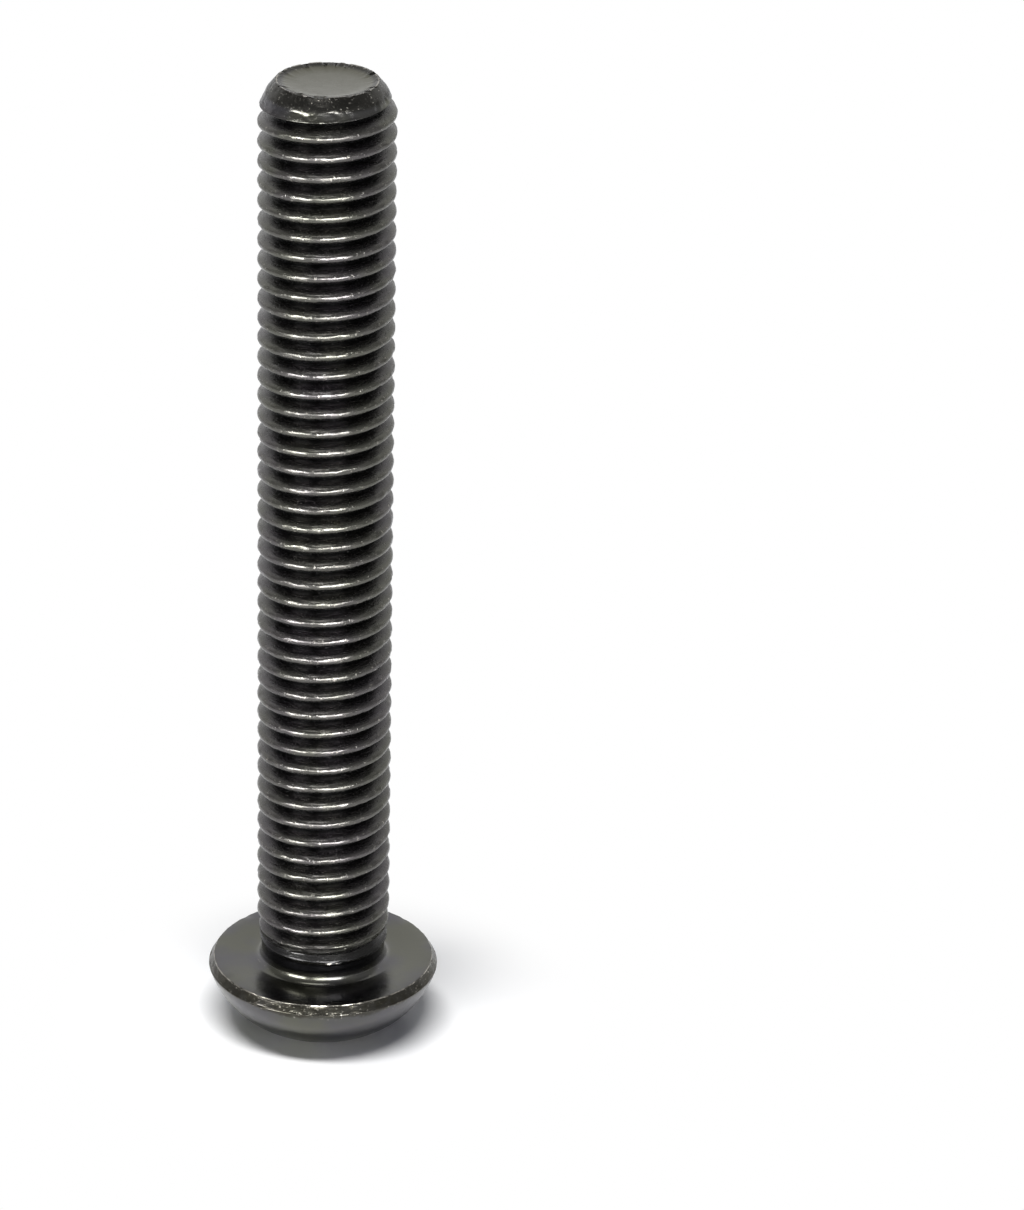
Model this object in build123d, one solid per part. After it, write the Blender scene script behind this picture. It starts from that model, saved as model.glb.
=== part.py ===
"""Button head socket screw, M10 x 1.5 x 70, threaded up to the head.

One forged and rolled piece of steel, in one node, button_head_screw. It stands on its head: the
flat round the hexagon socket lies at z = 0, and +Z runs along the axis to the threaded end.
Sizes are in millimetres and angles in degrees.
"""
from build123d import *
import math
import os

# Thread, right-hand
PITCH = 1.5
MAJOR_DIAMETER = 9.85         # over the crests, class 6g
ROOT_DIAMETER = 7.8           # bottom of the sharp groove
CREST_HEIGHT = 0.2            # first crest above the bearing face, on the +X side
CHORDS_PER_TURN = 18          # straight chords that draw one turn of the helix

# Shank
LENGTH = 70.0                 # nominal length, from the bearing face to the end
END_DIAMETER = 7.2            # flat of the chamfered end
END_CHAMFER_ANGLE = 45.0      # between the chamfer and the end face
NECK_DIAMETER = 9.2           # plain neck, left at the size of the wire
NECK_LENGTH = 1.4
CREST_RUNOUT = 1.8            # length over which the crests rise out of the neck
GROOVE_RUNOUT = 3.0           # length over which the grooves sink to full depth
UNDERHEAD_RADIUS = 0.65       # fillet between the neck and the bearing face

# Head
HEAD_DIAMETER = 17.25
HEAD_HEIGHT = 5.3
RIM_HEIGHT = 0.7              # straight band between the dome and the bearing face
RIM_CHAMFER = 0.3             # broken edge of the bearing face
CROWN_DIAMETER = 8.4          # flat that the dome is cut off at

# Socket
SOCKET_ACROSS_FLATS = 6.0
SOCKET_DEPTH = 3.3            # of the straight walls, at the corners
SOCKET_POINT_ANGLE = 150.0    # conical bottom left by the punch

OVERLAP = 0.5                 # how far a tool or a joined solid reaches past its face

END_Z = HEAD_HEIGHT + LENGTH
MAJOR_RADIUS = MAJOR_DIAMETER / 2
ROOT_RADIUS = ROOT_DIAMETER / 2
NECK_RADIUS = NECK_DIAMETER / 2


def turned(section):
    """Solid turned about Z from a section drawn as (radius, height)."""
    return revolve(Plane.XZ * section, axis=Axis.Z)


def helix_chords(radius, height):
    """One right-hand turn of the helix, in chords, starting on the +X side at the given height."""
    points = []
    for step in range(CHORDS_PER_TURN + 1):
        turned_by = step / CHORDS_PER_TURN
        angle = 2 * math.pi * turned_by
        points.append((radius * math.cos(angle), radius * math.sin(angle), height + PITCH * turned_by))
    return [Edge.make_line(start, end) for start, end in zip(points, points[1:])]


def ruled_strip(low_chords, high_chords):
    """Faces ruled from each chord of one line to its fellow on the other."""
    return [Face.make_surface_from_curves(low, high) for low, high in zip(low_chords, high_chords)]


def threaded_rod():
    """Closed rod wound from a V thread, reaching past the shank at both ends.

    Root lines and crest lines take turns, and the flanks are ruled from each line to the next.
    A ramp up the axis and a radial face close the rod where the winding starts and where it stops.
    """
    start = HEAD_HEIGHT + CREST_HEIGHT - PITCH / 2
    turns = math.ceil((END_Z - start) / PITCH) + 1
    stop = start + turns * PITCH
    lines = []
    for turn in range(turns):
        root_z = start + turn * PITCH
        lines.append(helix_chords(ROOT_RADIUS, root_z))
        lines.append(helix_chords(MAJOR_RADIUS, root_z + PITCH / 2))
    lines.append(helix_chords(ROOT_RADIUS, stop))
    faces = []
    for low_line, high_line in zip(lines, lines[1:]):
        faces += ruled_strip(low_line, high_line)
    for root_z, root_line in ((start, lines[0]), (stop, lines[-1])):
        faces += ruled_strip(helix_chords(0, root_z), root_line)
        corners = [
            (0, 0, root_z),
            (ROOT_RADIUS, 0, root_z),
            (MAJOR_RADIUS, 0, root_z + PITCH / 2),
            (ROOT_RADIUS, 0, root_z + PITCH),
            (0, 0, root_z + PITCH),
        ]
        faces.append(Face(Wire.make_polygon(corners, close=True)))
    return Solid(Shell(faces))


def thread_envelope():
    """Space that the thread may fill: it tapers in towards the neck and is chamfered at the end."""
    taper = (MAJOR_RADIUS - NECK_RADIUS) / CREST_RUNOUT
    low_radius = NECK_RADIUS - taper * (NECK_LENGTH + OVERLAP)
    clear_radius = MAJOR_RADIUS + OVERLAP
    clear_z = HEAD_HEIGHT + NECK_LENGTH + (clear_radius - NECK_RADIUS) / taper
    end_radius = END_DIAMETER / 2
    chamfer_length = (clear_radius - end_radius) * math.tan(math.radians(END_CHAMFER_ANGLE))
    outline = Polyline(
        (0, HEAD_HEIGHT - OVERLAP),
        (low_radius, HEAD_HEIGHT - OVERLAP),
        (clear_radius, clear_z),
        (clear_radius, END_Z - chamfer_length),
        (end_radius, END_Z),
        (0, END_Z),
        close=True,
    )
    return turned(make_face(outline))


def head_and_neck():
    """Head, underhead fillet and neck, with the cone on which the grooves run out."""
    head_radius = HEAD_DIAMETER / 2
    crown_radius = CROWN_DIAMETER / 2
    dome_z = HEAD_HEIGHT - RIM_HEIGHT
    dome_centre_z = (head_radius**2 - crown_radius**2 + dome_z**2) / (2 * dome_z)
    dome_radius = math.hypot(crown_radius, dome_centre_z)
    neck_z = HEAD_HEIGHT + NECK_LENGTH
    runout_z = neck_z + GROOVE_RUNOUT
    dome = RadiusArc((head_radius, dome_z), (crown_radius, 0), dome_radius)
    rest = Polyline(
        (crown_radius, 0),
        (0, 0),
        (0, runout_z),
        (ROOT_RADIUS, runout_z),
        (NECK_RADIUS, neck_z),
        (NECK_RADIUS, HEAD_HEIGHT),
        (head_radius, HEAD_HEIGHT),
        (head_radius, dome_z),
    )
    section = make_face(Curve() + [dome, rest])
    rim_corner = section.vertices().sort_by_distance((head_radius, HEAD_HEIGHT))[0]
    section = chamfer(rim_corner, RIM_CHAMFER)
    neck_corner = section.vertices().sort_by_distance((NECK_RADIUS, HEAD_HEIGHT))[0]
    section = fillet(neck_corner, UNDERHEAD_RADIUS)
    return turned(section)


def hex_socket():
    """Space of the hexagon socket, corners along X, with its conical bottom."""
    corner_radius = SOCKET_ACROSS_FLATS / math.sqrt(3)
    point_slope = math.tan(math.radians(SOCKET_POINT_ANGLE / 2))
    total_length = SOCKET_DEPTH + corner_radius / point_slope + OVERLAP
    hexagon = extrude(RegularPolygon(corner_radius, 6), total_length)
    base_centre = (Align.CENTER, Align.CENTER, Align.MIN)
    point = Cone(total_length * point_slope, 0, total_length, align=base_centre)
    return Pos(0, 0, -OVERLAP) * (hexagon & point)


thread = threaded_rod() & thread_envelope()
button_head_screw = head_and_neck() + thread - hex_socket()

os.makedirs("parts", exist_ok=True)
export_step(button_head_screw, "parts/button_head_screw.step")
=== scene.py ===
"""Button head screw in black oxide steel, standing on its head.

The screw is one piece: a head with its socket, and a rolled thread that runs up to the head.
Lengths in this script are in millimetres, and MM turns them into Blender's metres.
"""
import math

import bpy
from mathutils import Matrix, Vector, noise


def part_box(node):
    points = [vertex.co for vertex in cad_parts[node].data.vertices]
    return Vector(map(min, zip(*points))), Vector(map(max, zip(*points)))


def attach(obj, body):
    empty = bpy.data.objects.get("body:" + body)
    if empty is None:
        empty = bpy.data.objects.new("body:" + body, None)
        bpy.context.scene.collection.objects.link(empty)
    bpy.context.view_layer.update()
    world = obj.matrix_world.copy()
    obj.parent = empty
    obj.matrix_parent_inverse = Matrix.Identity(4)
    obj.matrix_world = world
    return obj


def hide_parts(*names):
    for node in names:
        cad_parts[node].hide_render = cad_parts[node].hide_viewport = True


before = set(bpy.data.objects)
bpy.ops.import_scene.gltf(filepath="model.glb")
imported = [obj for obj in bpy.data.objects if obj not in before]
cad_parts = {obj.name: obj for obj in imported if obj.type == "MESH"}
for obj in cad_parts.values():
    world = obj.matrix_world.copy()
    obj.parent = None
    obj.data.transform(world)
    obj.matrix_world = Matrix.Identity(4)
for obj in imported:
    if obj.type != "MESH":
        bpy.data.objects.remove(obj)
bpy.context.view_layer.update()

MM = 0.001

# The screw's reach, as the frame gives it
LOW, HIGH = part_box("button_head_screw")
END_Z = HIGH.z / MM
HEAD_RADIUS = (HIGH.x - LOW.x) / 2 / MM

# Thread, right-hand
PITCH = 1.5
MAJOR_RADIUS = 4.975
CREST_ROUND = 0.34
CREST_STEPS = 8
ROOT_ROUND = 0.08
ROOT_STEPS = 2
FLANK_ANGLE = 30.0            # of each flank from a plane across the axis
CREST_HEIGHT = 0.14           # first crest above the bearing face, on the +X side
THREAD_COLUMNS = 96

# Head
HEAD_HEIGHT = 5.3
HEAD_COLUMNS = 192
RIM_HEIGHT = 0.7              # of the band between the dome and the bearing face
DOME_RADIUS = 7.0
DOME_RINGS = 22
DOME_TRIM = (3.7, 0.9)        # degrees left off the dome's arc, for its rounding at the crown and at the rim
CROWN_RADIUS = 4.2
# The crown's flat rolls into the dome: radii and heights
CROWN_EDGE = ((3.9, 0.0), (4.08, 0.009), (4.27, 0.043), (4.45, 0.098))
# Lower edge of the band: insets from the head's radius and heights above the dome's edge
BAND_FOOT = ((0.012, -0.045), (0.0, 0.0), (0.004, 0.035), (0.02, 0.075), (0.052, 0.13), (0.1, 0.21))
# Upper edge of the band, with a small steep lip: insets from the head's radius, depths below the bearing face
BAND_TOP = ((0.19, 0.35), (0.29, 0.19), (0.345, 0.1), (0.368, 0.06), (0.376, 0.035), (0.388, 0.014))
BAND_NORMAL = (0.85, 0.5)     # outward and upward parts
NICK_START = 0.05             # nicks begin this far above the dome's edge
NICK_REACH = 0.06             # and go this far in from BEARING_RADIUS

# Bearing face, slightly hollow round the neck
BEARING_RADIUS = 8.19
# Its outer edge: distances outside BEARING_RADIUS and depths
BEARING_EDGE = ((0.015, 0.003), (-0.03, 0.0), (-0.12, 0.0))
HOLLOW = 0.2
HOLLOW_START = (1.2, 0.01)    # inset from the head's radius, and depth
# The hollow near the underhead fillet: distances outside it and shares of the hollow's depth
HOLLOW_FOOT = ((0.9, 0.7), (0.4, 0.93))

# Neck
NECK_RADIUS = 4.62
UNDERHEAD_RADIUS = 0.65
UNDERHEAD_STEPS = 8
NECK_FOOT = 6.0               # lowest row of the neck
NECK_ROWS = 26
NECK_GRAIN = (0.008, 0.5)     # height and size of its slight unevenness
JOIN_Z = 7.5                  # where the head's mesh gives way to the shank's
JOIN_GAP = 0.05               # left open between the two, and bridged
# Small fold below the thread's last turn: degrees round from the front, and height, of each end
FOLD_START = (3.0, 6.81)
FOLD_STOP = (22.0, 6.93)
FOLD_PROUD = 0.105
FOLD_HALF_WIDTH = 0.13
FOLD_FADE = 6                 # each end fades out over one part in this many of the length

# How far out the crests reach and how far in the grooves go, at heights above the bearing face
CREST_LIMIT = ((1.4, 4.62), (1.55, 4.7), (1.75, 4.8), (2.4, 4.8), (3.4, 4.925), (5.0, 5.3))
GROOVE_LIMIT = (
    (1.4, 4.62), (1.55, 4.68), (1.68, 4.77), (1.78, 4.75),
    (2.35, 4.42), (2.6, 4.42), (3.9, 3.85), (5.0, 3.2),
)
CREST_BLEND = 0.06
SHANK_BLEND = 0.1

# End
END_RADIUS = 3.68
# Chamfer, then a steeper band where the last crest is only partly rolled: depths below the end and radii
CHAMFER = ((0.0, END_RADIUS), (0.7, 4.28), (1.3, 4.57), (1.7, 4.77), (2.2, 5.0), (2.6, 5.3))
END_FILL = ((0.9, 4.8), (1.5, 4.4), (2.3, 3.5))   # the last groove fades out, at depths below the end
END_FINE = 2.0                # the mesh is twice as fine this near to the end
WAVE_HEIGHT = 0.03            # of the uneven surface near the end
WAVE_SIZE = 0.45
WAVE_REACH = 1.9              # the waves begin this far below the end
WAVE_FADE = 0.4               # and are full this much further up
RIM_ROUND = 0.08              # of the edge between the chamfer and the end face
DISH_DEPTH = 0.35
# Rings of the end's rim and dish: inset from END_RADIUS, depth, and how far chips cut the radius and height
END_RINGS = (
    (-0.03, 0.02, 0.0, 0.8),
    (0.05, 0.0, 0.0, 1.3),
    (0.13, 0.03, 1.5, 1.2),
    (0.3, DISH_DEPTH * 0.3, 1.5, 0.0),
    (0.55, DISH_DEPTH * 0.58, 1.0, 0.0),
    (0.95, DISH_DEPTH * 0.8, 0.0, 0.0),
    (1.5, DISH_DEPTH * 0.94, 0.0, 0.0),
    (END_RADIUS * 0.7, DISH_DEPTH, 0.0, 0.0),
)
CHIP_DEPTH = 0.27
CHIPS_PER_MM = (2.1, 5)       # of the large and the small chips

# Socket
SOCKET_ACROSS_FLATS = 6.0
SOCKET_CORNER = 3.43
CORNER_BLEND = 0.12
SOCKET_DEPTH = 3.3
SOCKET_POINT_ANGLE = 150.0
# Softened mouth and wall: how much wider than the hexagon, at depths
SOCKET_WALL = ((0.24, 0.0), (0.1, 0.03), (0.03, 0.1), (0.0, 0.22), (0.0, 1.4), (0.0, 2.6))
# Round between the wall and the bottom: how far inside the wall, and how far short of the bottom
SOCKET_FOOT = ((0.0, 0.1), (0.03, 0.03), (0.12, 0.0))
SOCKET_BOTTOM = (0.7, 0.4, 0.12)   # rings of the conical bottom, as shares of the hexagon

# Dents that handling leaves on crests and edges
DENT_DEPTH = 0.4
LARGE_DENT = (0.55, 0.12)     # size, and the level that the noise has to pass
SMALL_DENT = (0.25, 0.1)
SMALL_SHARE = 0.5             # small dents, chips and nicks are this deep beside the large ones
DENT_SHIFT = Vector((7, 3, 1))   # takes the small dents off the large ones' pattern
DENTED_RADIUS = 4.6           # crests are dented outside this radius
MOST_EXPOSED = 0.3            # dents get no deeper on what stands further out than this
NICK_SCALE = 2.3              # small nicks are this much finer than dents

MERGE_DISTANCE = 0.002
RIM_MERGE_DISTANCE = 0.03     # takes up the short edges that the cut at the end leaves
CUT_TOLERANCE = 0.0001
SAME_PLACE = 0.001
SMOOTH_ANGLE = 38             # sharper edges stay crisp


def srgb(hex_value):
    """Linear colour of a hex sRGB value."""
    parts = [int(hex_value[i:i + 2], 16) / 255 for i in (1, 3, 5)]
    return [c / 12.92 if c <= 0.04045 else ((c + 0.055) / 1.055) ** 2.4 for c in parts] + [1.0]


# ---------------------------------------------------------------- mesh helpers

def object_mode():
    bpy.ops.object.mode_set(mode="OBJECT")


def edit_mode():
    bpy.ops.object.mode_set(mode="EDIT")


def start_piece(name):
    """New mesh object in edit mode with one vertex at the origin."""
    bpy.ops.object.select_all(action="DESELECT")
    bpy.ops.mesh.primitive_plane_add(size=MM)
    piece = bpy.context.object
    piece.name = name
    edit_mode()
    bpy.ops.mesh.select_all(action="SELECT")
    bpy.ops.mesh.merge(type="CENTER")
    return piece


def draw_line(points):
    """Line through points given as (radius, height), drawn in the XZ plane by extruding a vertex."""
    here = Vector((points[0][0], 0, points[0][1])) * MM
    bpy.ops.transform.translate(value=here)
    for radius, height in points[1:]:
        there = Vector((radius, 0, height)) * MM
        bpy.ops.mesh.extrude_region_move(TRANSFORM_OT_translate={"value": there - here})
        here = there


def select_edges(piece, wanted):
    """Selects, in edit mode, the edges whose two ends both pass the test."""
    object_mode()
    mesh = piece.data
    for item in list(mesh.vertices) + list(mesh.edges) + list(mesh.polygons):
        item.select = False
    passes = [wanted(v.co / MM) for v in mesh.vertices]
    for edge in mesh.edges:
        if passes[edge.vertices[0]] and passes[edge.vertices[1]]:
            edge.select = True
            mesh.vertices[edge.vertices[0]].select = True
            mesh.vertices[edge.vertices[1]].select = True
    edit_mode()


def move_selected(piece, rule):
    """Moves each selected vertex to where the rule puts it, from its angle round the axis."""
    object_mode()
    for vertex in piece.data.vertices:
        if vertex.select:
            angle = math.atan2(vertex.co.y, vertex.co.x)
            radius, height = rule(angle)
            vertex.co = Vector((radius * math.cos(angle), radius * math.sin(angle), height)) * MM
    edit_mode()


def add_ring(piece, rule):
    """Extrudes the selected loop into a new ring of faces and places its far edge."""
    bpy.ops.mesh.extrude_region_move(TRANSFORM_OT_translate={"value": (0, 0, 0)})
    move_selected(piece, rule)


def scale_radius(vertex, factor):
    """Moves a vertex straight out from the axis, or in towards it."""
    vertex.co.x *= factor
    vertex.co.y *= factor


# ---------------------------------------------------------------- curves and wear

def smooth_min(a, b, width):
    """The lesser of two values, with a rounded change from one to the other."""
    h = max(width - abs(a - b), 0) / width
    return min(a, b) - h * h * width / 4


def smooth_max(a, b, width):
    """The greater of two values, rounded in the same way."""
    return -smooth_min(-a, -b, width)


def arc(centre, radius, start_angle, end_angle, steps):
    """Points of an arc, with angles in degrees, both ends included."""
    points = []
    for step in range(steps + 1):
        angle = math.radians(start_angle + (end_angle - start_angle) * step / steps)
        points.append((centre[0] + radius * math.cos(angle), centre[1] + radius * math.sin(angle)))
    return points


def along(table, place):
    """Value read from a table of (place, value) pairs, level past its ends."""
    for (low, low_value), (high, high_value) in zip(table, table[1:]):
        if place < low:
            return low_value
        if place < high:
            return low_value + (high_value - low_value) * (place - low) / (high - low)
    return table[-1][1]


def dent(spot, exposed):
    """Depth of the dents at a spot, by how far it stands out."""
    large = max(0, noise.noise(spot / LARGE_DENT[0]) - LARGE_DENT[1])
    small = max(0, noise.noise(spot / SMALL_DENT[0] + DENT_SHIFT) - SMALL_DENT[1])
    return DENT_DEPTH * (large + SMALL_SHARE * small) * min(max(exposed, 0), MOST_EXPOSED)


def chip(angle, share):
    """Depth of the uneven wear round the end's rim."""
    spot = Vector((math.cos(angle), math.sin(angle), 0)) * END_RADIUS
    large, small = CHIPS_PER_MM
    return share * CHIP_DEPTH * max(0, noise.noise(spot * large) + SMALL_SHARE * noise.noise(spot * small))


def end_wave(spot):
    """Height of the slight waves that rolling leaves near the end."""
    share = min(max(spot.z - END_Z + WAVE_REACH, 0) / WAVE_FADE, 1)
    return WAVE_HEIGHT * share * noise.noise(spot / WAVE_SIZE)


# ---------------------------------------------------------------- shank

def thread_section():
    """One pitch of the thread, from mid-flank round a crest and a root."""
    flank = math.radians(FLANK_ANGLE)
    crest_centre = MAJOR_RADIUS - CREST_ROUND
    sharp_crest = crest_centre + CREST_ROUND / math.sin(flank)
    sharp_root = sharp_crest - PITCH / 2 / math.tan(flank)
    root_centre = sharp_root + ROOT_ROUND / math.sin(flank)
    middle = (sharp_crest + sharp_root) / 2
    turn = 90 - FLANK_ANGLE
    points = [(middle, -PITCH / 4)]
    points += arc((crest_centre, 0), CREST_ROUND, -turn, turn, CREST_STEPS)
    points.append((middle, PITCH / 4))
    points += arc((root_centre, PITCH / 2), ROOT_ROUND, 180 + turn, 180 - turn, ROOT_STEPS)
    points.append((middle, PITCH * 3 / 4))
    return points


def shank_radius(radius, z):
    """Radius of a point of the endless thread once the neck and the end are shaped."""
    above = z - HEAD_HEIGHT
    radius = smooth_min(radius, along(CREST_LIMIT, above), CREST_BLEND)
    radius = smooth_max(radius, along(GROOVE_LIMIT, above), SHANK_BLEND)
    radius = smooth_max(radius, along(END_FILL, END_Z - z), SHANK_BLEND)
    return smooth_min(radius, along(CHAMFER, END_Z - z), SHANK_BLEND)


def wind_thread():
    """Plain thread wound from its section, from below the join to past the end."""
    first_crest = HEAD_HEIGHT + CREST_HEIGHT - 2 * PITCH
    piece = start_piece("shank")
    draw_line([(radius, first_crest + height) for radius, height in thread_section()])
    object_mode()
    wind = piece.modifiers.new("wind", "SCREW")
    wind.axis = "Z"
    wind.angle = 2 * math.pi
    wind.screw_offset = PITCH * MM
    wind.iterations = math.ceil((END_Z - first_crest) / PITCH) + 1
    wind.steps = THREAD_COLUMNS
    wind.render_steps = THREAD_COLUMNS
    bpy.ops.object.modifier_apply(modifier=wind.name)
    edit_mode()
    bpy.ops.mesh.select_all(action="SELECT")
    bpy.ops.mesh.remove_doubles(threshold=MERGE_DISTANCE * MM)
    return piece


def make_shank():
    """Thread tapered into the neck, dented, chamfered and cut at both ends."""
    piece = wind_thread()
    select_edges(piece, lambda p: p.z > END_Z - END_FINE)
    bpy.ops.mesh.subdivide(number_cuts=1)
    object_mode()
    for vertex in piece.data.vertices:
        spot = vertex.co / MM
        radius = math.hypot(spot.x, spot.y)
        wanted = shank_radius(radius, spot.z) - dent(spot, radius - DENTED_RADIUS) + end_wave(spot)
        scale_radius(vertex, wanted / radius)
    edit_mode()
    for height, below in ((JOIN_Z + JOIN_GAP, True), (END_Z - RIM_ROUND, False)):
        bpy.ops.mesh.select_all(action="SELECT")
        bpy.ops.mesh.bisect(
            plane_co=(0, 0, height * MM),
            plane_no=(0, 0, 1),
            clear_inner=below,
            clear_outer=not below,
            threshold=CUT_TOLERANCE * MM,
        )
    close_end(piece)
    object_mode()
    return piece


def close_end(piece):
    """End face: a narrow rolled rim, uneven all round, and a shallow dish inside it."""
    select_edges(piece, lambda p: abs(p.z - END_Z + RIM_ROUND) < SAME_PLACE)
    bpy.ops.mesh.remove_doubles(threshold=RIM_MERGE_DISTANCE * MM)
    for inset, depth, radius_chips, height_chips in END_RINGS:
        add_ring(piece, lambda angle: (
            END_RADIUS - inset - chip(angle, radius_chips),
            END_Z - depth - chip(angle, height_chips),
        ))
    bpy.ops.mesh.merge(type="CENTER")


# ---------------------------------------------------------------- head

def dome(crown, rim):
    """Points of the dome's arc from the crown to the rim, short of its rounded edges."""
    chord = rim - crown
    inward = Vector((-chord.y, chord.x)).normalized()
    centre = (rim + crown) / 2 + inward * math.sqrt(DOME_RADIUS ** 2 - (chord.length / 2) ** 2)
    crown_angle = math.degrees(math.atan2(-centre.y, CROWN_RADIUS - centre.x))
    rim_angle = math.degrees(math.atan2(rim.y - centre.y, HEAD_RADIUS - centre.x))
    return arc(centre, DOME_RADIUS, crown_angle + DOME_TRIM[0], rim_angle - DOME_TRIM[1], DOME_RINGS)


def head_section():
    """Section of the head from the flat round the socket, over the dome and rim, up to the neck."""
    crown = Vector((CROWN_RADIUS, 0))
    rim = Vector((HEAD_RADIUS, HEAD_HEIGHT - RIM_HEIGHT))
    fillet_radius = NECK_RADIUS + UNDERHEAD_RADIUS
    fillet_z = HEAD_HEIGHT - HOLLOW + UNDERHEAD_RADIUS
    points = list(CROWN_EDGE) + dome(crown, rim)
    points += [(HEAD_RADIUS - inset, rim.y + above) for inset, above in BAND_FOOT]
    points += [(HEAD_RADIUS - inset, HEAD_HEIGHT - depth) for inset, depth in BAND_TOP]
    points += [(BEARING_RADIUS + outside, HEAD_HEIGHT - depth) for outside, depth in BEARING_EDGE]
    points.append((HEAD_RADIUS - HOLLOW_START[0], HEAD_HEIGHT - HOLLOW_START[1]))
    points += [(fillet_radius + outside, HEAD_HEIGHT - HOLLOW * share) for outside, share in HOLLOW_FOOT]
    points += arc((fillet_radius, fillet_z), UNDERHEAD_RADIUS, 270, 180, UNDERHEAD_STEPS)
    for row in range(NECK_ROWS):
        points.append((NECK_RADIUS, NECK_FOOT + (JOIN_Z - NECK_FOOT) * row / (NECK_ROWS - 1)))
    return points


def make_head():
    """Head spun from its section, with its socket, its nicked band and the foot of the thread."""
    piece = start_piece("head")
    draw_line(head_section())
    bpy.ops.mesh.select_all(action="SELECT")
    bpy.ops.mesh.spin(steps=HEAD_COLUMNS, angle=2 * math.pi, center=(0, 0, 0), axis=(0, 0, 1))
    bpy.ops.mesh.select_all(action="SELECT")
    bpy.ops.mesh.remove_doubles(threshold=MERGE_DISTANCE * MM)
    sink_socket(piece)
    object_mode()
    batter_band(piece)
    shape_neck(piece)
    return piece


def batter_band(piece):
    """Nicks in the rim's band and its upper edge, pressed in along the band's own normal."""
    low = HEAD_HEIGHT - RIM_HEIGHT + NICK_START
    outward, upward = BAND_NORMAL
    for vertex in piece.data.vertices:
        spot = vertex.co / MM
        if spot.z > low and math.hypot(spot.x, spot.y) > BEARING_RADIUS - NICK_REACH:
            depth = dent(spot, MOST_EXPOSED) + SMALL_SHARE * dent(spot * NICK_SCALE, MOST_EXPOSED)
            normal = Vector((spot.x, spot.y, 0)).normalized() * outward + Vector((0, 0, upward))
            vertex.co -= normal * depth * MM


def fold(turn, z):
    """How proud the small fold at the neck stands, at degrees round from +X and a height."""
    (start, low), (stop, high) = FOLD_START, FOLD_STOP
    share = (turn + 90 - start) / (stop - start)
    away = abs(z - low - (high - low) * share)
    ends = max(0, min(1, FOLD_FADE * share, FOLD_FADE - FOLD_FADE * share))
    return FOLD_PROUD * max(0, 1 - away / FOLD_HALF_WIDTH) * ends


def shape_neck(piece):
    """Fades the thread's last turn out over the neck, with a small fold below it."""
    section = [(height, radius) for radius, height in thread_section()]
    grain_height, grain_size = NECK_GRAIN
    for vertex in piece.data.vertices:
        spot = vertex.co / MM
        if spot.z > NECK_FOOT - SAME_PLACE:
            turn = math.degrees(math.atan2(spot.y, spot.x))
            from_crest = spot.z - HEAD_HEIGHT - CREST_HEIGHT - PITCH * turn / 360
            phase = (from_crest + PITCH / 4) % PITCH - PITCH / 4
            wanted = shank_radius(along(section, phase), spot.z) + fold(turn, spot.z)
            wanted += grain_height * noise.noise(spot / grain_size)
            scale_radius(vertex, wanted / math.hypot(spot.x, spot.y))


def hexagon(angle, wider=0.0):
    """Radius of the socket's wall, with its corners along X a little rounded."""
    from_flat = (math.degrees(angle) % 60) - 30
    flat = (SOCKET_ACROSS_FLATS / 2 + wider) / math.cos(math.radians(from_flat))
    return smooth_min(flat, SOCKET_CORNER + wider, CORNER_BLEND)


def socket_floor(radius):
    """Height of the conical bottom, which is SOCKET_DEPTH at the hexagon's sharp corners."""
    spread = math.tan(math.radians(SOCKET_POINT_ANGLE / 2))
    return SOCKET_DEPTH + SOCKET_ACROSS_FLATS / math.sqrt(3) / spread - radius / spread


def sink_socket(piece):
    """Hexagon socket with a softened mouth and the conical bottom left by the punch."""
    innermost = CROWN_EDGE[0][0] + SAME_PLACE
    select_edges(piece, lambda p: abs(p.z) < SAME_PLACE and math.hypot(p.x, p.y) < innermost)
    for wider, depth in SOCKET_WALL:
        add_ring(piece, lambda angle: (hexagon(angle, wider), depth))
    for inside, short in SOCKET_FOOT:
        add_ring(piece, lambda angle: (
            hexagon(angle, -inside),
            socket_floor(hexagon(angle, -inside)) - short,
        ))
    for share in SOCKET_BOTTOM:
        add_ring(piece, lambda angle: (share * hexagon(angle), socket_floor(share * hexagon(angle))))
    bpy.ops.mesh.merge(type="CENTER")


def join_screw(head, shank):
    """Head and shank made one closed piece, by bridging the gap between them."""
    bpy.ops.object.select_all(action="DESELECT")
    shank.select_set(True)
    head.select_set(True)
    bpy.context.view_layer.objects.active = head
    bpy.ops.object.join()
    edit_mode()
    bpy.ops.mesh.select_mode(type="EDGE")
    bpy.ops.mesh.select_all(action="DESELECT")
    bpy.ops.mesh.select_non_manifold(
        extend=False,
        use_wire=False,
        use_multi_face=False,
        use_non_contiguous=False,
        use_verts=False,
    )
    bpy.ops.mesh.bridge_edge_loops()
    bpy.ops.mesh.select_all(action="SELECT")
    bpy.ops.mesh.normals_make_consistent(inside=False)
    object_mode()
    head.name = "screw"
    bpy.ops.object.shade_smooth_by_angle(angle=math.radians(SMOOTH_ANGLE))
    return head


# ---------------------------------------------------------------- black oxide

# Colour of the thread by radius: painted shade darkens it down in the grooves, and the crests are lighter
# where rubbed
THREAD_FILM_AND_GROOVE_SHADE = (
    (4.05, "#0e0e0f"), (4.25, "#1e1e1f"), (4.45, "#393839"),
    (4.66, "#4a4a4a"), (4.84, "#545452"), (4.97, "#5f5f5d"),
)
# The colour drifts between two tints. On the thread they are factors on THREAD_FILM_AND_GROOVE_SHADE
FILM_TINTS = ("#5c5c54", "#58575a")
THREAD_TINTS = ((1.04, 1.03, 0.92, 1), (1.03, 0.965, 1.01, 1))
# Painted shade: the neck and the thread's last turn are coloured near black
NECK_SHADE = "#222224"
BAND_FILM = "#403e37"
# Darker brown on the chamfer: partly the film's tint, partly painted shade that dims the lamps' reflection
# there
CHAMFER_FILM_AND_SHADE = "#3f3e3b"
DISH_FILM = "#605f55"
BARE_STEEL = "#9c9890"

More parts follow.
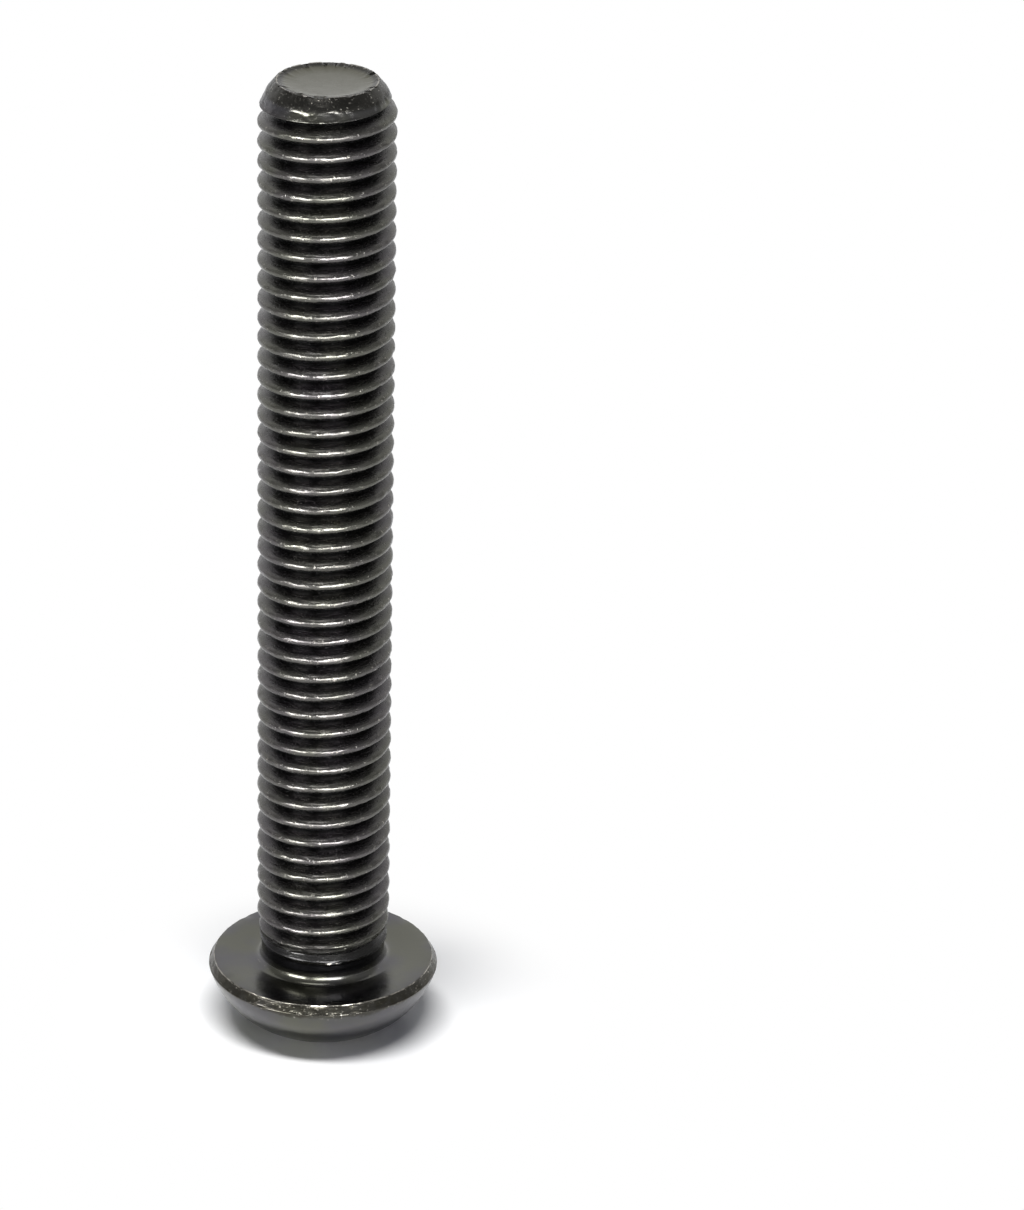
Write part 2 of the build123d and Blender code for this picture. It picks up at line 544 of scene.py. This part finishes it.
# Edges rubbed to bare steel: radius, height and how wide the rubbing is
WORN_EDGES = (
    (BEARING_RADIUS + 0.06, HEAD_HEIGHT - 0.03, 0.075),   # upper edge of the band
    (END_RADIUS - 0.07, END_Z, 0.075),                    # rim of the end
    (NECK_RADIUS + 0.19, 6.88, 0.1),                      # fold at the neck
    (SOCKET_CORNER - 0.03, 0.0, 0.2),                     # mouth of the socket
)
RUBBED_CORE = 0.4             # share of that width that is bare all through

# Noise patterns: the coordinates that each follows, its size and its detail.
# Real grain and rolling marks are finer: these are as coarse as they have to be to show
PATTERNS = {
    "wander": ("place", 1.2, 3.0),    # of the edge between the band and the dome
    "drift": ("place", 5.0, 3.0),     # of the tint
    "blotch": ("place", 0.7, 3.0),
    "grain": ("place", 0.2, 1.0),
    "streak": ("wound", 0.14, 2.0),   # rolling marks along the thread
    "ray": ("rayed", 0.16, 2.0),      # radial forging marks on the head
}
STREAK_PER_RADIAN = 0.8       # less than the radius, so that the rolling marks are drawn out round the axis
RAY_RADIUS = 7.0              # where the radial marks have their own size
RAY_STRETCH = 0.12            # less than 1, so that they are drawn out along the radius

# What is made of each pattern: its range, and the values at the low and the high end of it
LEVELS = {
    "wander": ("wander", 0.3, 0.7, -0.2 * MM, 0.2 * MM),
    "tint": ("drift", 0.4, 0.6, 0.0, 1.0),
    "brown": ("blotch", 0.42, 0.62, 0.75, 1.0),
    "patchy": ("blotch", 0.36, 0.52, 0.0, 1.0),
    "speck": ("grain", 0.68, 0.73, 0.0, 1.0),
    "pit": ("grain", 0.6, 0.7, 0.0, 0.6),
    "smooth": ("blotch", 0.3, 0.7, 0.17, 0.27),       # roughness of the forged head
    "rolled": ("streak", 0.35, 0.65, 0.15, 0.32),     # roughness of the rolled thread
}

# Edges of the finish's zones: what each follows, from where to where it changes, and its values there
ZONE_EDGES = {
    "above_fillet": ("height", 5.85, 6.05, 0.0, 1.0),
    "below_thread": ("height", 6.8, 8.3, 1.0, 0.0),
    "low_thread": ("height", 7.2, 8.4, 0.65, 0.0),    # how much calmer the relief is there
    "below_end": ("height", 73.6, 74.1, 1.0, 0.0),
    "end": ("height", 74.2, 74.45, 0.0, 1.0),
    "rim_height": ("height", 4.1, 4.4, 0.0, 1.0),
    "band_height": ("wandering_height", 4.26, 4.5, 0.0, 1.0),
    "rim_radius": ("radius", 8.16, 8.22, 0.0, 1.0),
    "outside_dish": ("radius", 3.05, 3.35, 0.0, 1.0),
    "crest_radius": ("radius", 4.78, 4.9, 0.0, 1.0),
}
THREAD_REACH = 5.0            # radius that nothing on the thread goes past

# Zones made of others, by their product, their difference or the greatest of them
ZONES = {
    "neck": ("MULTIPLY", "above_fillet", "below_thread"),
    "thread": ("MULTIPLY", "below_end", "above_fillet", "inside"),
    "crest": ("MULTIPLY", "crest_radius", "inside"),
    "calm": ("MULTIPLY", "low_thread", "above_fillet"),
    "band": ("MULTIPLY", "band_height", "rim_radius"),
    "rim": ("MULTIPLY", "rim_height", "rim_radius"),
    "chamfer": ("MULTIPLY", "end", "outside_dish"),
    "dish": ("SUBTRACT", "end", "outside_dish"),
    "speckled": ("MAXIMUM", "crest", "rim", "chamfer"),
    "dull": ("MAXIMUM", "neck", "rim", "chamfer"),
}

THREAD_METALLIC = 0.88
DULL_ROUGHNESS = 0.27
BARE_ROUGHNESS = 0.22
RELIEF_DEPTH = 0.02
STREAK_SHARE = 0.72           # of the thread's relief. The rest is grain
BAND_COARSENESS = 0.55        # beside the thread's
RAY_RELIEF = 0.22


def node(tree, kind, inputs=None, **settings):
    """Adds a node, sets it up and links or fills its inputs.

    An input goes by its name, or by its number where two have the same name.
    """
    made = tree.nodes.new(kind)
    for name, value in settings.items():
        setattr(made, name, value)
    for name, value in (inputs or {}).items():
        if isinstance(value, bpy.types.NodeSocket):
            tree.links.new(value, made.inputs[name])
        else:
            made.inputs[name].default_value = value
    return made


def find_places(tree):
    """Coordinates that the patterns and the zones follow."""
    place = node(tree, "ShaderNodeTexCoord").outputs["Object"]
    x, y, z = node(tree, "ShaderNodeSeparateXYZ", {"Vector": place}).outputs
    across = node(tree, "ShaderNodeCombineXYZ", {"X": x, "Y": y}).outputs["Vector"]
    radius = node(tree, "ShaderNodeVectorMath", {0: across}, operation="LENGTH").outputs["Value"]
    section = node(tree, "ShaderNodeCombineXYZ", {"X": radius, "Z": z}).outputs["Vector"]
    angle = node(tree, "ShaderNodeMath", {0: y, 1: x}, operation="ARCTAN2").outputs[0]
    # Drawn out round the axis
    wound_angle = node(tree, "ShaderNodeMath", {0: angle, 1: STREAK_PER_RADIAN * MM}, operation="MULTIPLY")
    inputs = {"X": wound_angle.outputs[0], "Y": radius, "Z": z}
    wound = node(tree, "ShaderNodeCombineXYZ", inputs).outputs["Vector"]
    # Drawn out away from the axis
    ray_angle = node(tree, "ShaderNodeMath", {0: angle, 1: RAY_RADIUS * MM}, operation="MULTIPLY")
    ray_radius = node(tree, "ShaderNodeMath", {0: radius, 1: RAY_STRETCH}, operation="MULTIPLY")
    inputs = {"X": ray_angle.outputs[0], "Y": ray_radius.outputs[0]}
    rayed = node(tree, "ShaderNodeCombineXYZ", inputs).outputs["Vector"]
    return {"place": place, "height": z, "radius": radius, "section": section, "wound": wound, "rayed": rayed}


def make_patterns(tree, places):
    """Noise patterns, and the levels that are made of them."""
    patterns = {}
    for name, (place, size, detail) in PATTERNS.items():
        inputs = {"Vector": places[place], "Scale": 1 / (size * MM), "Detail": detail}
        patterns[name] = node(tree, "ShaderNodeTexNoise", inputs).outputs["Fac"]
    levels = {}
    for name, (pattern, start, stop, low, high) in LEVELS.items():
        inputs = {
            "Value": patterns[pattern],
            "From Min": start,
            "From Max": stop,
            "To Min": low,
            "To Max": high,
        }
        levels[name] = node(tree, "ShaderNodeMapRange", inputs).outputs["Result"]
    return patterns, levels


def make_zones(tree, places, levels):
    """Masks that say where each finish lies."""
    wandering = node(tree, "ShaderNodeMath", {0: places["height"], 1: levels["wander"]}, operation="ADD")
    follows = {**places, "wandering_height": wandering.outputs[0]}
    inside = node(tree, "ShaderNodeMath", {0: places["radius"], 1: THREAD_REACH * MM}, operation="LESS_THAN")
    zones = {"inside": inside.outputs[0]}
    for name, (place, start, stop, low, high) in ZONE_EDGES.items():
        inputs = {
            "Value": follows[place],
            "From Min": start * MM,
            "From Max": stop * MM,
            "To Min": low,
            "To Max": high,
        }
        zones[name] = node(tree, "ShaderNodeMapRange", inputs).outputs["Result"]
    for name, (operation, first, *others) in ZONES.items():
        zone = zones[first]
        for other in others:
            settings = {"operation": operation, "use_clamp": operation == "SUBTRACT"}
            zone = node(tree, "ShaderNodeMath", {0: zone, 1: zones[other]}, **settings).outputs[0]
        zones[name] = zone
    return zones


def bare_steel(tree, places, levels, zones):
    """Where steel shows: on rubbed edges, and in specks along the crests, the rim and the chamfer."""
    rubbed = 0.0
    for radius, height, width in WORN_EDGES:
        edge = (radius * MM, 0, height * MM)
        away = node(tree, "ShaderNodeVectorMath", {0: places["section"], 1: edge}, operation="DISTANCE")
        inputs = {
            "Value": away.outputs["Value"],
            "From Min": width * RUBBED_CORE * MM,
            "From Max": width * MM,
            "To Min": 1.0,
            "To Max": 0.0,
        }
        close = node(tree, "ShaderNodeMapRange", inputs).outputs["Result"]
        rubbed = node(tree, "ShaderNodeMath", {0: rubbed, 1: close}, operation="MAXIMUM").outputs[0]
    rubbed = node(tree, "ShaderNodeMath", {0: rubbed, 1: levels["patchy"]}, operation="MULTIPLY").outputs[0]
    speck = node(tree, "ShaderNodeMath", {0: levels["speck"], 1: zones["speckled"]}, operation="MULTIPLY")
    return node(tree, "ShaderNodeMath", {0: rubbed, 1: speck.outputs[0]}, operation="MAXIMUM").outputs[0]


def thread_colour_and_groove_shade(tree, places, levels):
    """Colour of the thread by radius, with painted shade darkening it towards the grooves."""
    innermost = THREAD_FILM_AND_GROOVE_SHADE[0][0]
    outermost = THREAD_FILM_AND_GROOVE_SHADE[-1][0]
    inputs = {"Value": places["radius"], "From Min": innermost * MM, "From Max": outermost * MM}
    reach = node(tree, "ShaderNodeMapRange", inputs).outputs["Result"]
    ramp = node(tree, "ShaderNodeValToRGB", {"Fac": reach})
    while len(ramp.color_ramp.elements) < len(THREAD_FILM_AND_GROOVE_SHADE):
        ramp.color_ramp.elements.new(0.5)
    for stop, (radius, colour) in zip(ramp.color_ramp.elements, THREAD_FILM_AND_GROOVE_SHADE):
        stop.position = (radius - innermost) / (outermost - innermost)
        stop.color = srgb(colour)
    inputs = {"Factor": levels["tint"], "A": THREAD_TINTS[0], "B": THREAD_TINTS[1]}
    tint = node(tree, "ShaderNodeMix", inputs, data_type="RGBA").outputs["Result"]
    inputs = {"Factor": 1.0, "A": ramp.outputs["Color"], "B": tint}
    return node(tree, "ShaderNodeMix", inputs, data_type="RGBA", blend_type="MULTIPLY").outputs["Result"]


def film_colour(tree, places, levels, zones):
    """Colour of the film zone by zone, with painted shade in the thread's grooves, on the neck and on the
    chamfer, and of the bare steel.
    """
    inputs = {"Factor": levels["tint"], "A": srgb(FILM_TINTS[0]), "B": srgb(FILM_TINTS[1])}
    film = node(tree, "ShaderNodeMix", inputs, data_type="RGBA").outputs["Result"]
    browned = node(tree, "ShaderNodeMath", {0: zones["band"], 1: levels["brown"]}, operation="MULTIPLY")
    layers = (
        # the thread's colour holds painted shade in its grooves
        (zones["thread"], thread_colour_and_groove_shade(tree, places, levels)),
        # painted shade on the neck
        (zones["neck"], srgb(NECK_SHADE)),
        (browned.outputs[0], srgb(BAND_FILM)),
        # partly painted shade on the chamfer
        (zones["chamfer"], srgb(CHAMFER_FILM_AND_SHADE)),
        (zones["dish"], srgb(DISH_FILM)),
        (zones["bare"], srgb(BARE_STEEL)),
    )
    for share, colour in layers:
        inputs = {"Factor": share, "A": film, "B": colour}
        film = node(tree, "ShaderNodeMix", inputs, data_type="RGBA").outputs["Result"]
    return film


def film_roughness(tree, levels, zones):
    """Smooth forged head, rougher rolled thread, dull neck, rim and chamfer."""
    rough = levels["smooth"]
    layers = (
        (zones["thread"], levels["rolled"]),
        (zones["dull"], DULL_ROUGHNESS),
        (zones["bare"], BARE_ROUGHNESS),
    )
    for share, roughness in layers:
        rough = node(tree, "ShaderNodeMix", {"Factor": share, "A": rough, "B": roughness}).outputs["Result"]
    return rough


def film_relief(tree, patterns, levels, zones):
    """Streaks, grain and pits about 0.01 mm deep on the thread and the band, and faint rays on the head."""
    on_band = node(tree, "ShaderNodeMath", {0: zones["band"], 1: BAND_COARSENESS}, operation="MULTIPLY")
    coarse = on_band.outputs[0]
    for operation, name in (("MAXIMUM", "thread"), ("ADD", "chamfer"), ("SUBTRACT", "calm")):
        coarse = node(tree, "ShaderNodeMath", {0: coarse, 1: zones[name]}, operation=operation).outputs[0]
    inputs = {"Factor": STREAK_SHARE, "A": patterns["grain"], "B": patterns["streak"]}
    marks = node(tree, "ShaderNodeMix", inputs).outputs["Result"]
    marks = node(tree, "ShaderNodeMath", {0: marks, 1: levels["pit"]}, operation="SUBTRACT").outputs[0]
    marks = node(tree, "ShaderNodeMath", {0: marks, 1: coarse}, operation="MULTIPLY").outputs[0]
    rays = node(tree, "ShaderNodeMath", {0: patterns["ray"], 1: RAY_RELIEF}, operation="MULTIPLY").outputs[0]
    relief = node(tree, "ShaderNodeMath", {0: rays, 1: marks}, operation="ADD").outputs[0]
    inputs = {"Strength": 1.0, "Distance": RELIEF_DEPTH * MM, "Height": relief}
    return node(tree, "ShaderNodeBump", inputs).outputs["Normal"]


def black_oxide():
    """Black oxide on forged and rolled steel: a thin magnetite film, lightly oiled.

    It gives near black faces with satin reflections that brighten at a glancing angle,
    a tint that drifts from olive to lavender, and steel showing where edges rub.
    The thread's grooves, the neck and the chamfer are darkened with painted shade.
    """
    material = bpy.data.materials.new("black_oxide_steel")
    material.use_nodes = True
    tree = material.node_tree
    shader = tree.nodes["Principled BSDF"]
    places = find_places(tree)
    patterns, levels = make_patterns(tree, places)
    zones = make_zones(tree, places, levels)
    zones["bare"] = bare_steel(tree, places, levels, zones)
    # The rolled film scatters a little light of its own, which the forged head does not
    inputs = {"Value": zones["thread"], "To Min": 1.0, "To Max": THREAD_METALLIC}
    metallic = node(tree, "ShaderNodeMapRange", inputs).outputs["Result"]
    tree.links.new(film_colour(tree, places, levels, zones), shader.inputs["Base Color"])
    tree.links.new(metallic, shader.inputs["Metallic"])
    tree.links.new(film_roughness(tree, levels, zones), shader.inputs["Roughness"])
    tree.links.new(film_relief(tree, patterns, levels, zones), shader.inputs["Normal"])
    return material


# ---------------------------------------------------------------- studio

FLOOR_RADIUS = 3000
FLOOR_FADE = (10, 21)         # radii over which the sheet's shading gives way to plain white
FLOOR_ROUGHNESS = 0.3

# The room as the steel mirrors it. Directions go by their upward or backward part, from 0 to 1
CEILING_EDGE = (0.6, 0.95)
WALL_LEVEL = 0.42
CEILING_LEVEL = 0.16
BACKDROP_EDGE = (0.276, 0.436)   # past it is the white backdrop
FILL_LEVEL = 0.08             # of the light that the room gives to matt surfaces
FILL_COLOUR = "#dfe9ff"

LAMPS = {
    # azimuth and elevation of the middle, width and height, all in degrees, and brightness,
    # then whether it lights the floor, or else is mirrored in the steel
    "window_left": (-45, 7, 30, 14, 26.0, False),
    "window_right": (12, 7, 43, 14, 26.0, False),
    "ceiling_glow": (-30, 73, 24, 9, 5.0, False),
    "ceiling_tube": (-14, 73, 36, 9, 37.0, True),
}
LAMP_DISTANCE = 900
LAMPS_AIM = 35                # height on the screw that the lamps face

CAMERA_PLACE = (13.754, -381.06, 213.816)
CAMERA_PITCH = 25.18          # degrees below the horizon
CAMERA_ROLL = 1.174           # degrees
FOCAL_PIXELS = 5729
FRAME_HEIGHT_PIXELS = 1210
SENSOR_HEIGHT = 36
SIGHT = 20000                 # how far the camera sees


def white_sheet():
    """White sheet with a slight gloss. It keeps the shadow near the screw, and is plain white further off."""
    material = bpy.data.materials.new("white_sheet")
    material.use_nodes = True
    tree = material.node_tree
    shader = tree.nodes["Principled BSDF"]
    shader.inputs["Base Color"].default_value = srgb("#ffffff")
    shader.inputs["Roughness"].default_value = FLOOR_ROUGHNESS
    place = node(tree, "ShaderNodeTexCoord").outputs["Object"]
    away = node(tree, "ShaderNodeVectorMath", {0: place}, operation="LENGTH").outputs["Value"]
    inputs = {"Value": away, "From Min": FLOOR_FADE[0] * MM, "From Max": FLOOR_FADE[1] * MM}
    far = node(tree, "ShaderNodeMapRange", inputs, interpolation_type="SMOOTHSTEP").outputs["Result"]
    seen = node(tree, "ShaderNodeLightPath").outputs["Is Camera Ray"]
    share = node(tree, "ShaderNodeMath", {0: far, 1: seen}, operation="MULTIPLY").outputs[0]
    white = node(tree, "ShaderNodeEmission", {"Color": (1, 1, 1, 1), "Strength": 1.0}).outputs["Emission"]
    sheet = node(tree, "ShaderNodeMixShader", {0: share, 1: shader.outputs["BSDF"], 2: white})
    tree.links.new(sheet.outputs["Shader"], tree.nodes["Material Output"].inputs["Surface"])
    return material


def make_floor():
    """Round floor, wide enough to fill the view."""
    bpy.ops.object.select_all(action="DESELECT")
    bpy.ops.mesh.primitive_circle_add(vertices=64, radius=FLOOR_RADIUS * MM, fill_type="NGON")
    floor = bpy.context.object
    floor.name = "floor"
    floor.data.materials.append(white_sheet())


def make_world():
    """Room with grey walls, a darker ceiling and a white backdrop. To the camera it is white all round."""
    world = bpy.data.worlds.new("studio")
    bpy.context.scene.world = world
    world.use_nodes = True
    tree = world.node_tree
    tree.nodes.clear()
    direction = node(tree, "ShaderNodeTexCoord").outputs["Generated"]
    parts = node(tree, "ShaderNodeSeparateXYZ", {"Vector": direction}).outputs
    inputs = {
        "Value": parts["Z"],
        "From Min": CEILING_EDGE[0],
        "From Max": CEILING_EDGE[1],
        "To Min": WALL_LEVEL,
        "To Max": CEILING_LEVEL,
    }
    above = node(tree, "ShaderNodeMapRange", inputs).outputs["Result"]
    inputs = {
        "Value": parts["Y"],
        "From Min": BACKDROP_EDGE[0],
        "From Max": BACKDROP_EDGE[1],
        "To Min": above,
        "To Max": 1.0,
    }
    mirrored = node(tree, "ShaderNodeMapRange", inputs).outputs["Result"]
    rays = node(tree, "ShaderNodeLightPath").outputs
    inputs = {"Factor": rays["Is Glossy Ray"], "A": FILL_LEVEL, "B": mirrored}
    lit = node(tree, "ShaderNodeMix", inputs).outputs["Result"]
    inputs = {"Factor": rays["Is Camera Ray"], "A": lit, "B": 1.0}
    level = node(tree, "ShaderNodeMix", inputs).outputs["Result"]
    inputs = {"Factor": rays["Is Diffuse Ray"], "A": srgb("#ffffff"), "B": srgb(FILL_COLOUR)}
    shade = node(tree, "ShaderNodeMix", inputs, data_type="RGBA").outputs["Result"]
    sky = node(tree, "ShaderNodeBackground", {"Color": shade, "Strength": level}).outputs["Background"]
    node(tree, "ShaderNodeOutputWorld", {"Surface": sky})
    # The room is dim beside the lamps, so it isn't sampled as one
    world.cycles.sampling_method = "NONE"


def make_lamps():
    """Windows and ceiling lamps, all at one distance from the middle of the screw."""
    distance = LAMP_DISTANCE * MM
    for name, (azimuth, elevation, width, height, brightness, lights_floor) in LAMPS.items():
        lamp = bpy.data.lights.new(name, "AREA")
        lamp.shape = "RECTANGLE"
        lamp.size = 2 * distance * math.tan(math.radians(width / 2))
        lamp.size_y = 2 * distance * math.tan(math.radians(height / 2))
        lamp.energy = brightness * math.pi * lamp.size * lamp.size_y
        holder = bpy.data.objects.new(name, lamp)
        bpy.context.scene.collection.objects.link(holder)
        a = math.radians(azimuth)
        e = math.radians(elevation)
        away = Vector((math.sin(a) * math.cos(e), -math.cos(a) * math.cos(e), math.sin(e)))
        holder.location = away * distance + Vector((0, 0, LAMPS_AIM * MM))
        holder.rotation_euler = away.to_track_quat("Z", "Y").to_euler()
        holder.visible_camera = False
        holder.visible_diffuse = lights_floor
        holder.visible_glossy = not lights_floor


def make_camera():
    """Camera that looks down on the screw's front from a little above its end."""
    camera = bpy.data.cameras.new("camera")
    camera.sensor_fit = "VERTICAL"
    camera.sensor_height = SENSOR_HEIGHT
    camera.lens = FOCAL_PIXELS * SENSOR_HEIGHT / FRAME_HEIGHT_PIXELS
    camera.clip_end = SIGHT * MM
    holder = bpy.data.objects.new("camera", camera)
    bpy.context.scene.collection.objects.link(holder)
    pitch = Matrix.Rotation(math.radians(90 - CAMERA_PITCH), 4, "X")
    roll = Matrix.Rotation(math.radians(CAMERA_ROLL), 4, "Z")
    holder.matrix_world = Matrix.Translation(Vector(CAMERA_PLACE) * MM) @ (pitch @ roll)
    bpy.context.scene.camera = holder


screw = join_screw(make_head(), make_shank())
screw.data.materials.clear()
screw.data.materials.append(black_oxide())
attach(screw, "root")
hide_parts("button_head_screw")

make_floor()
make_world()
make_lamps()
make_camera()
bpy.context.scene.view_settings.view_transform = "Standard"
